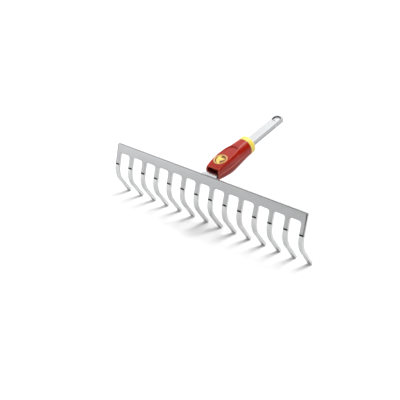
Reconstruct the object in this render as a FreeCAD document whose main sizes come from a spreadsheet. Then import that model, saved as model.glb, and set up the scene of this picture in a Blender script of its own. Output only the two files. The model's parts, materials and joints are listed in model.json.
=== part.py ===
import FreeCAD, Part
import math
import os

import Sketcher
from FreeCAD import Placement, Rotation, Vector

# Soil rake head for a click-in handle.
#
# Tool axes (before the stance is applied): X runs along the blade, Y runs along the
# handle towards the tang end, Z is square to both with the tines pointing to -Z.
# The origin is the middle of the bend line on the blade's front face.
# The stance then raises the tang by stance_tilt so that the tine tips stand on Z = 0.

DIMENSIONS = [
    ("stance_tilt", 20.6, "rise of the handle axis above the ground, degrees"),
    ("blade_length", 421.0, "overall length of the comb blade"),
    ("blade_thick", 4.8, "thickness of the blade sheet"),
    ("blade_rise", 37.9, "bend line to top edge"),
    ("slot_rise", 21.5, "bend line to the top of the gaps"),
    ("blade_lean", 27.0, "lean of the blade towards the handle, degrees"),
    ("tine_width", 9.2, "width of one tine"),
    ("tine_sweep", 49.0, "angle the tines are bent through, degrees"),
    ("bend_drop", 3.0, "bend line to the start of the bend"),
    ("bend_radius", 40.0, "front face radius of the bend"),
    ("tip_length", 34.0, "straight length below the bend"),
    ("gap_corner", 4.5, "corner radius at the top of a gap"),
    ("corner_cut", 2.0, "cut of the blade's top corners"),
    ("mark_width", 1.5, "width of the coined bend line"),
    ("mark_depth", 0.4, "depth of the coined bend line"),
    ("tang_width", 18.0, "width of the folded tang"),
    ("tang_height", 8.4, "height of the folded tang"),
    ("tang_wall", 2.0, "sheet thickness of the tang"),
    ("tang_top", 31.75, "top face of the tang above the tool origin"),
    ("tang_start", 62.0, "front end of the folded tang, inside the housing"),
    ("tang_end", 220.5, "rear end of the tang"),
    ("tang_corner", 4.5, "corner radius at the rear end of the tang"),
    ("latch_radius", 7.0, "radius of the latch hole"),
    ("latch_offset", 9.5, "latch hole centre to the end of the tang"),
    ("groove_width", 1.8, "width of the groove along the tang's sides"),
    ("groove_depth", 0.5, "depth of the groove along the tang's sides"),
    ("groove_end", 194.0, "rear end of the side grooves"),
    ("strip_thick", 4.0, "thickness of the neck strip"),
    ("strip_radius", 7.0, "outer radius of the neck bend"),
    ("strip_lap", 8.5, "length of the neck strip that lies on the blade"),
    ("neck_width", 23.6, "width of the neck in the housing mouth"),
    ("foot_width", 34.0, "width of the neck where it meets the blade"),
    ("pin_radius", 1.3, "radius of the tang's cross pin"),
    ("pin_back", 24.5, "cross pin to the end of the tang"),
    ("housing_start", 33.0, "front edge of the housing"),
    ("housing_length", 86.0, "housing length in front of the collar"),
    ("split_level", 27.5, "parting plane of the housing halves"),
    ("spigot_radius", 13.2, "radius of the rear spigot under the collar"),
    ("spigot_length", 7.5, "length of the rear spigot"),
    ("collar_radius", 16.7, "outer radius of the collar ring"),
    ("collar_length", 10.0, "length of the collar ring"),
    ("mouth_width", 24.4, "width of the mouth at the front of the housing"),
    ("screw_radius", 2.0, "shank radius of the housing screws"),
    ("screw_head_radius", 3.6, "head radius of the housing screws"),
    ("badge_radius", 12.0, "outer radius of the badge rim"),
    ("badge_centre", 24.0, "badge centre behind the front edge of the housing"),
    ("badge_tilt", 4.4, "slope of the top panel under the badge, degrees"),
    ("badge_level", 13.95, "panel surface at the badge, above the parting plane"),
]
TINE_COUNT = 14
CLEAR = 0.1
BADGE_SINK = 1.5
SCREW_PLACES = (42.0, 71.0)

# Housing sections from front to rear: distance behind the front edge, half width,
# top and bottom levels from the parting plane, top bevel, bottom corner radius.
HOUSING_SECTIONS = [
    (0.0, 14.8, 11.3, -9.5, 3.0, 4.0),
    (17.0, 16.0, 13.3, -13.5, 3.5, 6.0),
    (32.0, 17.0, 14.5, -16.0, 4.0, 8.0),
    (47.0, 16.8, 15.2, -16.2, 5.0, 9.0),
    (62.0, 16.2, 15.3, -15.6, 6.5, 10.5),
    (86.0, 15.2, 15.2, -15.2, 8.8, 12.8),
]

doc = FreeCAD.newDocument("SoilRakeHead")
sheet = doc.addObject("Spreadsheet::Sheet", "Dimensions")
size = {}


def fill_sheet():
    for row, (alias, value, note) in enumerate(DIMENSIONS, start=1):
        sheet.set("A%d" % row, note)
        sheet.set("B%d" % row, str(value))
        sheet.setAlias("B%d" % row, alias)
        size[alias] = value
    doc.recompute()


def bind(feature, prop, expression):
    feature.setExpression(prop, expression)


def new_body(name):
    body = doc.addObject("PartDesign::Body", name)
    body.Label = name
    return body


def origin_item(body, role):
    for item in body.Origin.OriginFeatures:
        if item.Role == role:
            return item
    raise ValueError(role)


def new_sketch(body, name, role, offset=None):
    sketch = body.newObject("Sketcher::SketchObject", name)
    sketch.AttachmentSupport = [(origin_item(body, role), "")]
    sketch.MapMode = "FlatFace"
    if offset is not None:
        sketch.AttachmentOffset = offset
    return sketch


def add_loop(sketch, points):
    """Closed polygon with its corners joined; returns the index of its first line."""
    first = sketch.GeometryCount
    count = len(points)
    for k, (u, v) in enumerate(points):
        p, q = points[(k + 1) % count]
        sketch.addGeometry(Part.LineSegment(Vector(u, v, 0), Vector(p, q, 0)), False)
    for k in range(count):
        after = first + (k + 1) % count
        sketch.addConstraint(Sketcher.Constraint("Coincident", first + k, 2, after, 1))
    return first


def add_box(sketch, left, right, bottom, top, named=()):
    """Rectangle held by four distances; named gives (edge, expression) pairs."""
    first = add_loop(sketch, [(left, bottom), (right, bottom), (right, top), (left, top)])
    for k, kind in enumerate(("Horizontal", "Vertical", "Horizontal", "Vertical")):
        sketch.addConstraint(Sketcher.Constraint(kind, first + k))
    edges = {
        "left": ("DistanceX", first, 1, left),
        "right": ("DistanceX", first + 1, 1, right),
        "bottom": ("DistanceY", first, 1, bottom),
        "top": ("DistanceY", first + 2, 1, top),
    }
    expressions = dict(named)
    for edge, (kind, line, end, value) in edges.items():
        index = sketch.addConstraint(Sketcher.Constraint(kind, -1, 1, line, end, value))
        if edge in expressions:
            sketch.setExpression("Constraints[%d]" % index, expressions[edge])
    return first


def add_circle(sketch, u, v, radius, expression=None):
    index = sketch.addGeometry(Part.Circle(Vector(u, v, 0), Vector(0, 0, 1), radius), False)
    sketch.addConstraint(Sketcher.Constraint("DistanceX", -1, 1, index, 3, u))
    sketch.addConstraint(Sketcher.Constraint("DistanceY", -1, 1, index, 3, v))
    held = sketch.addConstraint(Sketcher.Constraint("Radius", index, radius))
    if expression:
        sketch.setExpression("Constraints[%d]" % held, expression)
    return index


def pad(body, name, sketch, length, expression=None, both=False, reverse=False):
    feature = body.newObject("PartDesign::Pad", name)
    feature.Profile = sketch
    feature.Length = length
    if both:
        feature.SideType = "Symmetric"
    feature.Reversed = reverse
    if expression:
        bind(feature, "Length", expression)
    body.Tip = feature
    doc.recompute()
    return feature


def pocket(body, name, sketch, length, expression=None, both=False, reverse=False):
    before = body.Shape.Volume
    feature = body.newObject("PartDesign::Pocket", name)
    feature.Profile = sketch
    feature.Length = length
    if both:
        feature.SideType = "Symmetric"
    feature.Reversed = reverse
    if expression:
        bind(feature, "Length", expression)
    body.Tip = feature
    doc.recompute()
    if body.Shape.Volume >= before - 0.01:
        raise RuntimeError("%s removed nothing" % name)
    return feature


def round_edges(body, name, radius, wanted):
    """Fillet on every edge whose corner points all pass the wanted test."""
    names = [
        "Edge%d" % (k + 1)
        for k, edge in enumerate(body.Shape.Edges)
        if all(wanted(vertex.Point) for vertex in edge.Vertexes)
        and isinstance(edge.Curve, Part.Circle)
    ]
    rounded = body.Tip
    fillet = body.newObject("PartDesign::Fillet", name)
    fillet.Base = (rounded, names)
    fillet.Radius = radius
    body.Tip = fillet
    doc.recompute()


def tool_placement():
    """Tool axes to ground axes: the handle rises by the stance tilt."""
    return Placement(Vector(0, 0, 0), Rotation(Vector(1, 0, 0), size["stance_tilt"]))


def place(body, y=0.0, z=0.0, turn=0.0):
    """Put a body in tool axes, turned about X, and then apply the stance."""
    local = Placement(Vector(0, y, z), Rotation(Vector(1, 0, 0), turn))
    body.Placement = tool_placement().multiply(local)


def sketch_blade_side(body):
    """Side view of the blade: flat plate above, one long curve and a straight tip below."""
    sketch = new_sketch(body, "BladeSide", "YZ_Plane")
    rise = size["blade_rise"]
    thick = size["blade_thick"]
    radius = size["bend_radius"]
    sweep = math.radians(size["tine_sweep"])
    tip = size["tip_length"]
    drop = size["bend_drop"]
    middle = Vector(radius, -drop, 0)
    inner = radius - thick
    along = Vector(math.sin(sweep), -math.cos(sweep), 0)
    outer_end = middle + Vector(-math.cos(sweep), -math.sin(sweep), 0) * radius
    inner_end = middle + Vector(-math.cos(sweep), -math.sin(sweep), 0) * inner
    upright = Vector(0, 0, 1)
    turn = (math.pi, math.pi + sweep)
    sketch.addGeometry(Part.LineSegment(Vector(0, rise, 0), Vector(0, -drop, 0)), False)
    sketch.addGeometry(Part.ArcOfCircle(Part.Circle(middle, upright, radius), *turn), False)
    sketch.addGeometry(Part.LineSegment(outer_end, outer_end + along * tip), False)
    sketch.addGeometry(Part.LineSegment(outer_end + along * tip, inner_end + along * tip), False)
    sketch.addGeometry(Part.LineSegment(inner_end + along * tip, inner_end), False)
    sketch.addGeometry(Part.ArcOfCircle(Part.Circle(middle, upright, inner), *turn), False)
    sketch.addGeometry(Part.LineSegment(Vector(thick, -drop, 0), Vector(thick, rise, 0)), False)
    sketch.addGeometry(Part.LineSegment(Vector(thick, rise, 0), Vector(0, rise, 0)), False)
    rule = Sketcher.Constraint
    sketch.addConstraint([
        rule("PointOnObject", 0, 2, -2),
        rule("Vertical", 0),
        rule("Tangent", 0, 2, 1, 1),
        rule("Tangent", 1, 2, 2, 1),
        rule("Coincident", 2, 2, 3, 1),
        rule("Perpendicular", 2, 3),
        rule("Coincident", 3, 2, 4, 1),
        rule("Tangent", 4, 2, 5, 2),
        rule("Coincident", 1, 3, 5, 3),
        rule("Tangent", 5, 1, 6, 1),
        rule("Coincident", 6, 2, 7, 1),
        rule("Coincident", 7, 2, 0, 1),
        rule("Horizontal", 7),
    ])
    driven = [
        (rule("DistanceY", -1, 1, 0, 1, rise), "Dimensions.blade_rise"),
        (rule("DistanceY", 0, 2, -1, 1, drop), "Dimensions.bend_drop"),
        (rule("Radius", 1, radius), "Dimensions.bend_radius"),
        (rule("DistanceX", 7, 2, 7, 1, thick), "Dimensions.blade_thick"),
        (rule("Distance", 2, tip), "Dimensions.tip_length"),
        (rule("Angle", 1, sweep), "Dimensions.tine_sweep * 1 deg"),
    ]
    for constraint, expression in driven:
        index = sketch.addConstraint(constraint)
        sketch.setExpression("Constraints[%d]" % index, expression)
    return sketch


def sketch_gap(body, centre, width):
    """One gap between two tines, with rounded upper corners, drawn from the back."""
    sketch = new_sketch(body, "TineGap", "XZ_Plane")
    top = size["slot_rise"]
    bottom = -2.5 * size["tip_length"]
    corner = size["gap_corner"]
    left = centre - width / 2
    right = centre + width / 2
    upright = Vector(0, 0, 1)
    shapes = [
        Part.LineSegment(Vector(left, bottom, 0), Vector(right, bottom, 0)),
        Part.LineSegment(Vector(right, bottom, 0), Vector(right, top - corner, 0)),
        Part.ArcOfCircle(
            Part.Circle(Vector(right - corner, top - corner, 0), upright, corner), 0, math.pi / 2
        ),
        Part.LineSegment(Vector(right - corner, top, 0), Vector(left + corner, top, 0)),
        Part.ArcOfCircle(
            Part.Circle(Vector(left + corner, top - corner, 0), upright, corner),
            math.pi / 2,
            math.pi,
        ),
        Part.LineSegment(Vector(left, top - corner, 0), Vector(left, bottom, 0)),
    ]
    for shape in shapes:
        sketch.addGeometry(shape, False)
    rule = Sketcher.Constraint
    sketch.addConstraint([
        rule("Coincident", 0, 2, 1, 1),
        rule("Horizontal", 0),
        rule("Vertical", 1),
        rule("Tangent", 1, 2, 2, 1),
        rule("Tangent", 2, 2, 3, 1),
        rule("Tangent", 3, 2, 4, 1),
        rule("Tangent", 4, 2, 5, 1),
        rule("Coincident", 5, 2, 0, 1),
        rule("Vertical", 5),
        rule("Equal", 2, 4),
    ])
    driven = [
        (rule("Radius", 2, corner), "Dimensions.gap_corner"),
        (rule("DistanceY", -1, 1, 3, 1, top), "Dimensions.slot_rise"),
        (rule("DistanceX", 0, 1, 0, 2, width), None),
        (rule("DistanceX", -1, 1, 0, 1, left), None),
        (rule("DistanceY", -1, 1, 0, 1, bottom), None),
    ]
    for constraint, expression in driven:
        index = sketch.addConstraint(constraint)
        if expression:
            sketch.setExpression("Constraints[%d]" % index, expression)
    return sketch


def build_blade():
    """Comb blade: one stamped sheet with fourteen bent tines."""
    body = new_body("rake_blade")
    length = size["blade_length"]
    pitch = (length - size["tine_width"]) / (TINE_COUNT - 1)
    gap_width = pitch - size["tine_width"]
    plate = sketch_blade_side(body)
    pad(body, "Plate", plate, length, "Dimensions.blade_length", both=True)
    first_gap = -pitch * (TINE_COUNT - 2) / 2
    gap = pocket(body, "Gap", sketch_gap(body, first_gap, gap_width), 400.0, both=True)
    gaps = body.newObject("PartDesign::LinearPattern", "Gaps")
    gaps.Originals = [gap]
    gaps.Direction = (origin_item(body, "X_Axis"), [""])
    gaps.Length = pitch * (TINE_COUNT - 2)
    gaps.Occurrences = TINE_COUNT - 1
    body.Tip = gaps
    doc.recompute()
    mark = new_sketch(body, "BendLine", "YZ_Plane")
    half = size["mark_width"] / 2
    add_box(mark, -1.0, size["mark_depth"], -half, half, [("right", "Dimensions.mark_depth")])
    pocket(body, "BendLineCut", mark, length * 1.2, both=True)
    corners = new_sketch(body, "TopCorners", "XZ_Plane")
    cut = size["corner_cut"]
    top = size["blade_rise"]
    for side in (-1, 1):
        end = side * length / 2
        add_loop(corners, [(end - side * cut, top), (end + side, top + 1.0), (end, top - cut)])
    pocket(body, "TopCornerCuts", corners, 60.0, both=True)
    place(body, turn=-size["blade_lean"])
    return body


def neck_profile():
    """Points of the neck strip's side view, in tool Y and Z."""
    lean = math.radians(size["blade_lean"])
    up = Vector(0, math.sin(lean), math.cos(lean))
    back = Vector(0, math.cos(lean), -math.sin(lean))
    face = back * size["blade_thick"]
    level = size["tang_top"] - size["tang_wall"]
    corner = face + up * ((level - face.z) / up.z)
    outer = size["strip_radius"]
    inner = outer - size["strip_thick"]
    turn = math.radians(90 - size["blade_lean"])
    reach = outer * math.tan(turn / 2)
    centre = corner + Vector(0, reach, -outer)
    foot_start = corner - up * reach
    foot_end = foot_start - up * (size["strip_lap"] - reach / 2)
    halfway = Vector(0, -math.sin(turn / 2), math.cos(turn / 2))
    return {
        "up": up,
        "back": back,
        "face": face,
        "corner": corner,
        "centre": centre,
        "outer": outer,
        "inner": inner,
        "level": level,
        "halfway": halfway,
        "bend_top": corner + Vector(0, reach, 0),
        "foot_start": foot_start,
        "foot_end": foot_end,
    }


def side_sketch(body, name, edges):
    """Closed side view on the YZ plane; an edge is (start, end) or (start, middle, end)."""
    sketch = new_sketch(body, name, "YZ_Plane")
    for edge in edges:
        flat = [Vector(point.y, point.z, 0) for point in edge]
        if len(flat) == 2:
            sketch.addGeometry(Part.LineSegment(*flat), False)
        else:
            sketch.addGeometry(Part.Arc(*flat), False)
    return sketch


def build_neck_strip():
    """Flat strip that runs from the blade, through the housing, to the end of the tang."""
    body = new_body("neck_strip")
    shape = neck_profile()
    thick = size["strip_thick"]
    rear = size["tang_end"] - 1.5
    top_end = Vector(0, rear, shape["level"])
    low_end = Vector(0, rear, shape["level"] - thick)
    low_bend = shape["centre"] + Vector(0, 0, shape["inner"])
    foot_back = shape["back"] * thick
    outer_mid = shape["centre"] + shape["halfway"] * shape["outer"]
    inner_mid = shape["centre"] + shape["halfway"] * shape["inner"]
    inner_foot = shape["foot_start"] + foot_back
    profile = side_sketch(body, "StripSide", [
        (top_end, shape["bend_top"]),
        (shape["bend_top"], outer_mid, shape["foot_start"]),
        (shape["foot_start"], shape["foot_end"]),
        (shape["foot_end"], shape["foot_end"] + foot_back),
        (shape["foot_end"] + foot_back, inner_foot),
        (inner_foot, inner_mid, low_bend),
        (low_bend, low_end),
        (low_end, top_end),
    ])
    pad(body, "Strip", profile, size["foot_width"], "Dimensions.foot_width", both=True)
    outline = new_sketch(body, "StripEdges", "XY_Plane")
    foot = size["foot_width"] / 2
    neck = size["neck_width"] / 2
    slim = size["tang_width"] / 2 - size["tang_wall"] - CLEAR
    bend = shape["bend_top"].y
    start = size["tang_start"]
    for side in (-1, 1):
        add_loop(outline, [
            (side * (foot + 1), bend - 0.5),
            (side * foot, bend - 0.5),
            (side * (foot - 1.5), bend + 1.0),
            (side * neck, bend + 3.5),
            (side * neck, start - 16.0),
            (side * slim, start - 6.0),
            (side * slim, rear - 3.0),
            (side * (slim - 3.0), rear),
            (side * (slim - 3.0), rear + 2.0),
            (side * (foot + 1), rear + 2.0),
        ])
    pocket(body, "StripEdgeCuts", outline, 200.0, both=True)
    holes = new_sketch(body, "StripHoles", "XY_Plane")
    latch = size["tang_end"] - size["latch_offset"]
    add_circle(holes, 0, latch, size["latch_radius"] - 0.9)
    for place_y in SCREW_PLACES:
        add_circle(holes, 0, size["housing_start"] + place_y, size["screw_radius"] + CLEAR)
    pocket(body, "StripHoleCuts", holes, 200.0, both=True)
    pin_hole(body, "StripPinHole")
    place(body)
    return body


def pin_centre():
    level = size["tang_top"] - size["tang_wall"] - size["strip_thick"] / 2
    return size["tang_end"] - size["pin_back"], level


def pin_hole(body, name):
    sketch = new_sketch(body, name, "YZ_Plane")
    y, z = pin_centre()
    add_circle(sketch, y, z, size["pin_radius"], "Dimensions.pin_radius")
    pocket(body, name + "Cut", sketch, 40.0, both=True)


def build_tang_channel():
    """Folded sheet channel around the strip, with the latch hole at its rear end."""
    body = new_body("tang_channel")
    half = size["tang_width"] / 2
    top = size["tang_top"]
    low = top - size["tang_height"]
    wall = size["tang_wall"]
    start = size["tang_start"]
    end = size["tang_end"]
    profile = new_sketch(body, "ChannelSection", "XZ_Plane")
    add_loop(profile, [
        (-half, low), (-half, top - 0.8), (-half + 0.8, top), (half - 0.8, top),
        (half, top - 0.8), (half, low), (half - wall, low), (half - wall, top - wall),
        (-half + wall, top - wall), (-half + wall, low),
    ])
    profile.AttachmentOffset = Placement(Vector(0, 0, -start), Rotation())
    pad(body, "Channel", profile, end - start, "Dimensions.tang_end - Dimensions.tang_start",
        reverse=True)
    ends = new_sketch(body, "TangEnd", "XY_Plane")
    corner = size["tang_corner"]
    for side in (-1, 1):
        near = Vector(side * half, end - corner, 0)
        far = Vector(side * (half - corner), end, 0)
        bulge = Vector(side * (half - corner * 0.293), end - corner * 0.293, 0)
        ends.addGeometry(Part.Arc(near, bulge, far), False)
        ends.addGeometry(Part.LineSegment(far, Vector(side * (half + 1), end + 1, 0)), False)
        ends.addGeometry(Part.LineSegment(Vector(side * (half + 1), end + 1, 0), near), False)
    pocket(body, "TangEndCorners", ends, 200.0, both=True)
    latch = new_sketch(body, "LatchHole", "XY_Plane")
    add_circle(latch, 0, end - size["latch_offset"], size["latch_radius"],
               "Dimensions.latch_radius")
    for place_y in SCREW_PLACES:
        add_circle(latch, 0, size["housing_start"] + place_y, size["screw_radius"] + CLEAR)
    pocket(body, "LatchHoleCut", latch, 200.0, both=True)
    grooves = new_sketch(body, "SideGrooves", "XZ_Plane")
    middle = top - size["tang_height"] / 2 - 0.6
    depth = size["groove_depth"]
    reach = size["groove_width"] / 2
    for side in (-1, 1):
        edges = sorted((side * (half + 1), side * (half - depth)))
        add_box(grooves, edges[0], edges[1], middle - reach, middle + reach)
    grooves.AttachmentOffset = Placement(Vector(0, 0, -start), Rotation())
    pocket(body, "SideGrooveCuts", grooves, size["groove_end"] - start)
    pin_hole(body, "ChannelPinHole")
    place(body)
    return body


def build_tang_pin():
    """Cross pin that ties the channel to the strip; its ends stand just proud."""
    body = new_body("tang_pin")
    y, z = pin_centre()
    sketch = new_sketch(body, "PinSection", "YZ_Plane")
    add_circle(sketch, 0, 0, size["pin_radius"], "Dimensions.pin_radius")
    pad(body, "Pin", sketch, size["tang_width"] + 0.8, "Dimensions.tang_width + 0.8", both=True)
    round_edges(body, "PinEnds", 0.35, lambda point: True)
    place(body, y, z)
    return body


def build_weld(name, edges, length):
    body = new_body(name)
    profile = side_sketch(body, name + "_side", edges)
    pad(body, name + "_bead", profile, length, both=True)
    place(body)
    return body


def build_welds():
    """Weld metal: one bead in the crook of the bend, one under the foot of the strip."""
    shape = neck_profile()
    up = shape["up"]
    back = shape["back"]
    crest = shape["corner"] + up * 1.4
    outer_mid = shape["centre"] + shape["halfway"] * shape["outer"]
    length = size["foot_width"] - 4.0
    build_weld("weld_bead_upper", [
        (crest, shape["foot_start"]),
        (shape["foot_start"], outer_mid, shape["bend_top"]),
        (shape["bend_top"], crest),
    ], length)
    leg = size["strip_thick"] * 0.8
    low = shape["foot_end"] - up * leg
    high = shape["foot_end"] + back * leg
    belly = (low + high) * 0.5 - up * 0.5 + back * 0.5
    build_weld("weld_bead_lower", [
        (shape["foot_end"], low),
        (low, belly, high),
        (high, shape["foot_end"]),
    ], length)


def housing_section(body, index, values):
    """Flat top panel with bevelled shoulders, upright sides and a rounded belly."""
    offset, half, top, bottom, bevel, corner = values
    sketch = new_sketch(body, "Section%d" % index, "XZ_Plane",
                        Placement(Vector(0, 0, -offset), Rotation()))
    flat = half - bevel
    shoulder = top - bevel
    round_top = bottom + corner
    inset = half - corner
    low = corner * (1 - math.sqrt(0.5))
    edges = [
        (Vector(-flat, top, 0), Vector(flat, top, 0)),
        (Vector(flat, top, 0), Vector(half, shoulder, 0)),
        (Vector(half, shoulder, 0), Vector(half, round_top, 0)),
        (Vector(half, round_top, 0), Vector(half - low, bottom + low, 0), Vector(inset, bottom, 0)),
        (Vector(inset, bottom, 0), Vector(-inset, bottom, 0)),
        (Vector(-inset, bottom, 0), Vector(low - half, bottom + low, 0),
         Vector(-half, round_top, 0)),
        (Vector(-half, round_top, 0), Vector(-half, shoulder, 0)),
        (Vector(-half, shoulder, 0), Vector(-flat, top, 0)),
    ]
    for edge in edges:
        shape = Part.LineSegment(*edge) if len(edge) == 2 else Part.Arc(*edge)
        sketch.addGeometry(shape, False)
    return sketch


def housing_blank(name):
    """Whole outer form of the housing with its rear spigot, before it is split."""
    body = new_body(name)
    sections = [
        housing_section(body, k, values) for k, values in enumerate(HOUSING_SECTIONS)
    ]
    doc.recompute()
    loft = body.newObject("PartDesign::AdditiveLoft", "OuterForm")
    loft.Profile = sections[0]
    loft.Sections = sections[1:]
    loft.Ruled = False
    body.Tip = loft
    doc.recompute()
    spigot = new_sketch(body, "Spigot", "XZ_Plane",
                        Placement(Vector(0, 0, 1.0 - size["housing_length"]), Rotation()))
    add_circle(spigot, 0, 0, size["spigot_radius"], "Dimensions.spigot_radius")
    pad(body, "SpigotPad", spigot, size["spigot_length"] + 1.0,
        "Dimensions.spigot_length + 1", reverse=True)
    return body


def cut_from_split(body, name, boxes, depth, downwards):
    """Pockets that start at the parting plane and run up or down into one half."""
    sketch = new_sketch(body, name, "XY_Plane")
    for half, start, end in boxes:
        add_box(sketch, -half, half, start, end)
    return pocket(body, name + "Cut", sketch, depth, reverse=not downwards)


def trim_half(body, keep_upper):
    sketch = new_sketch(body, "Parting", "XY_Plane")
    add_box(sketch, -40, 40, -20, 140)
    pocket(body, "PartingCut", sketch, 60.0, reverse=not keep_upper)


def build_housing_upper():
    """Upper shell: open mouth, two bays, a seat for the tang and for the badge."""
    body = housing_blank("housing_upper")
    trim_half(body, keep_upper=True)
    mouth = size["mouth_width"] / 2
    seat = size["tang_width"] / 2 + CLEAR
    tang_room = size["tang_top"] - size["split_level"] + CLEAR
    start = size["tang_start"] - size["housing_start"] - 0.5
    cut_from_split(body, "Mouth", [(mouth, -1.0, 11.0)], 8.4, False)
    cut_from_split(body, "TangSeat", [(seat, start, 120.0)], tang_room, False)
    cut_from_split(body, "NeckSeat", [(mouth, 10.0, start + 1.0)], 3.0, False)
    cut_from_split(body, "Bays", [(11.0, 47.0, 66.0), (10.5, 76.0, 83.0)], 10.0, False)
    sunk = Placement(Vector(0, 0, -BADGE_SINK), Rotation())
    badge = new_sketch(body, "BadgeSeat", "XY_Plane", badge_placement().multiply(sunk))
    add_circle(badge, 0, 0, size["badge_radius"] + CLEAR / 2)
    pocket(body, "BadgeSeatCut", badge, 12.0, reverse=True)
    screws = new_sketch(body, "ScrewPilots", "XY_Plane")
    for place_y in SCREW_PLACES:
        add_circle(screws, 0, place_y, size["screw_radius"], "Dimensions.screw_radius")
    pocket(body, "ScrewPilotCuts", screws, 11.0, reverse=True)
    place(body, size["housing_start"], size["split_level"])
    return body


def build_housing_lower():
    """Lower shell: the belly of the housing, with recessed screw holes."""
    body = housing_blank("housing_lower")
    trim_half(body, keep_upper=False)
    mouth = size["mouth_width"] / 2
    seat = size["tang_width"] / 2 + CLEAR
    tang_room = size["split_level"] - size["tang_top"] + size["tang_height"] + CLEAR
    start = size["tang_start"] - size["housing_start"] - 0.5
    strip_room = size["split_level"] - size["tang_top"] + size["tang_wall"]
    strip_room += size["strip_thick"] + CLEAR
    cut_from_split(body, "NeckSeat", [(mouth, -1.0, start + 1.0)], strip_room, True)
    cut_from_split(body, "TangSeat", [(seat, start, 120.0)], tang_room, True)
    bays = [(11.5, 14.0, 35.0), (11.5, 49.0, 64.0), (10.5, 78.0, 83.0)]
    cut_from_split(body, "Bays", bays, 11.5, True)
    holes = new_sketch(body, "ScrewHoles", "XY_Plane")
    for place_y in SCREW_PLACES:
        add_circle(holes, 0, place_y, size["screw_radius"] + CLEAR)
    pocket(body, "ScrewHoleCuts", holes, 60.0)
    recess = new_sketch(body, "ScrewRecesses", "XY_Plane",
                        Placement(Vector(0, 0, -10.0), Rotation()))
    for place_y in SCREW_PLACES:
        add_circle(recess, 0, place_y, size["screw_head_radius"] + CLEAR)
    pocket(body, "ScrewRecessCuts", recess, 40.0)
    place(body, size["housing_start"], size["split_level"])
    return body


def screw_shape(level, tip):
    """Cylinder-head screw with a hexagon socket, standing along Z."""
    head = size["screw_head_radius"]
    head_height = 3.0
    shank = Part.makeCylinder(size["screw_radius"], tip - level, Vector(0, 0, level))
    cap = Part.makeCylinder(head, head_height, Vector(0, 0, level - head_height))
    cap = cap.makeFillet(0.5, [edge for edge in cap.Edges if edge.Vertexes[0].Z < level - 1])
    corners = [
        Vector(1.6 * math.cos(k * math.pi / 3), 1.6 * math.sin(k * math.pi / 3),
               level - head_height)
        for k in range(7)
    ]
    socket = Part.Face(Part.makePolygon(corners)).extrude(Vector(0, 0, 1.8))
    return cap.fuse(shank).removeSplitter().cut(socket)


def build_housing_screws():
    """Two equal screws, driven up from the belly, that clamp the shells on the tang."""
    level = -10.0
    tip = 10.5
    screws = []
    for place_y in SCREW_PLACES:
        screw = screw_shape(level, tip)
        screw.translate(Vector(0, place_y, 0))
        screws.append(screw)
    feature = doc.addObject("Part::Feature", "housing_screws")
    feature.Label = "housing_screws"
    feature.Shape = Part.makeCompound(screws)
    place(feature, size["housing_start"], size["split_level"])
    return feature


def build_collar():
    """Ring that slides over the spigot and holds the rear of both shells together."""
    body = new_body("collar_ring")
    ring = new_sketch(body, "RingOuter", "XZ_Plane")
    add_circle(ring, 0, 0, size["collar_radius"], "Dimensions.collar_radius")
    pad(body, "Ring", ring, size["collar_length"], "Dimensions.collar_length", reverse=True)
    round_edges(body, "RingEdges", 1.2, lambda point: True)
    bore = new_sketch(body, "RingBore", "XZ_Plane")
    add_circle(bore, 0, 0, size["spigot_radius"] + CLEAR)
    pocket(body, "RingBoreCut", bore, size["spigot_length"] + CLEAR)
    window = new_sketch(body, "TangWindow", "XZ_Plane")
    half = size["tang_width"] / 2 + CLEAR
    top = size["tang_top"] - size["split_level"] + CLEAR
    add_box(window, -half, half, top - size["tang_height"] - 2 * CLEAR, top)
    pocket(body, "TangWindowCut", window, 60.0)
    place(body, size["housing_start"] + size["housing_length"], size["split_level"])
    return body


def badge_placement():
    """Centre of the badge on the sloping top panel, in the housing's own axes."""
    centre = Vector(0, size["badge_centre"], size["badge_level"])
    return Placement(centre, Rotation(Vector(1, 0, 0), size["badge_tilt"]))


def place_badge(body):
    place(body, size["housing_start"], size["split_level"])
    body.Placement = body.Placement.multiply(badge_placement())


def build_badge():
    """Medallion in the top panel: rim, sunk field and a plain raised leaf."""
    rim = new_body("badge_rim")
    ring = new_sketch(rim, "RimRing", "XY_Plane",
                      Placement(Vector(0, 0, -BADGE_SINK), Rotation()))
    outer = size["badge_radius"]
    inner = outer - 2.0
    add_circle(ring, 0, 0, outer, "Dimensions.badge_radius")
    add_circle(ring, 0, 0, inner)
    pad(rim, "Rim", ring, 2.5)
    round_edges(rim, "RimCrown", 0.7, lambda point: abs(point.z - 1.0) < 1e-6)
    place_badge(rim)
    disc = new_body("badge_disc")
    field = new_sketch(disc, "Field", "XY_Plane",
                       Placement(Vector(0, 0, -BADGE_SINK), Rotation()))
    add_circle(field, 0, 0, inner)
    pad(disc, "FieldPad", field, 1.3)
    place_badge(disc)
    leaf = new_body("badge_leaf")
    outline = new_sketch(leaf, "LeafOutline", "XY_Plane",
                         Placement(Vector(0, 0, -0.2), Rotation()))
    reach = inner * 0.78
    belly = inner * 0.46
    tip = Vector(reach, reach * 0.35, 0)
    stem = Vector(-reach, -reach * 0.35, 0)
    for side in (-1, 1):
        bulge = Vector(-belly * 0.35 * side, belly * side, 0)
        outline.addGeometry(Part.Arc(stem, bulge, tip), False)
    pad(leaf, "LeafPad", outline, 0.9)
    place_badge(leaf)


def stand_on_ground():
    """Move every part so that the tips stand on Z = 0 over the middle of the outline."""
    parts = [item for item in doc.Objects if item.TypeId == "PartDesign::Body"]
    parts += [item for item in doc.Objects if item.TypeId == "Part::Feature"]
    whole = FreeCAD.BoundBox()
    for part in parts:
        whole.add(part.Shape.optimalBoundingBox(False, False))
    shift = Vector(-whole.Center.x, -whole.Center.y, -whole.ZMin)
    for part in parts:
        part.Placement = Placement(shift, Rotation()).multiply(part.Placement)
    doc.recompute()
    return parts


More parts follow.
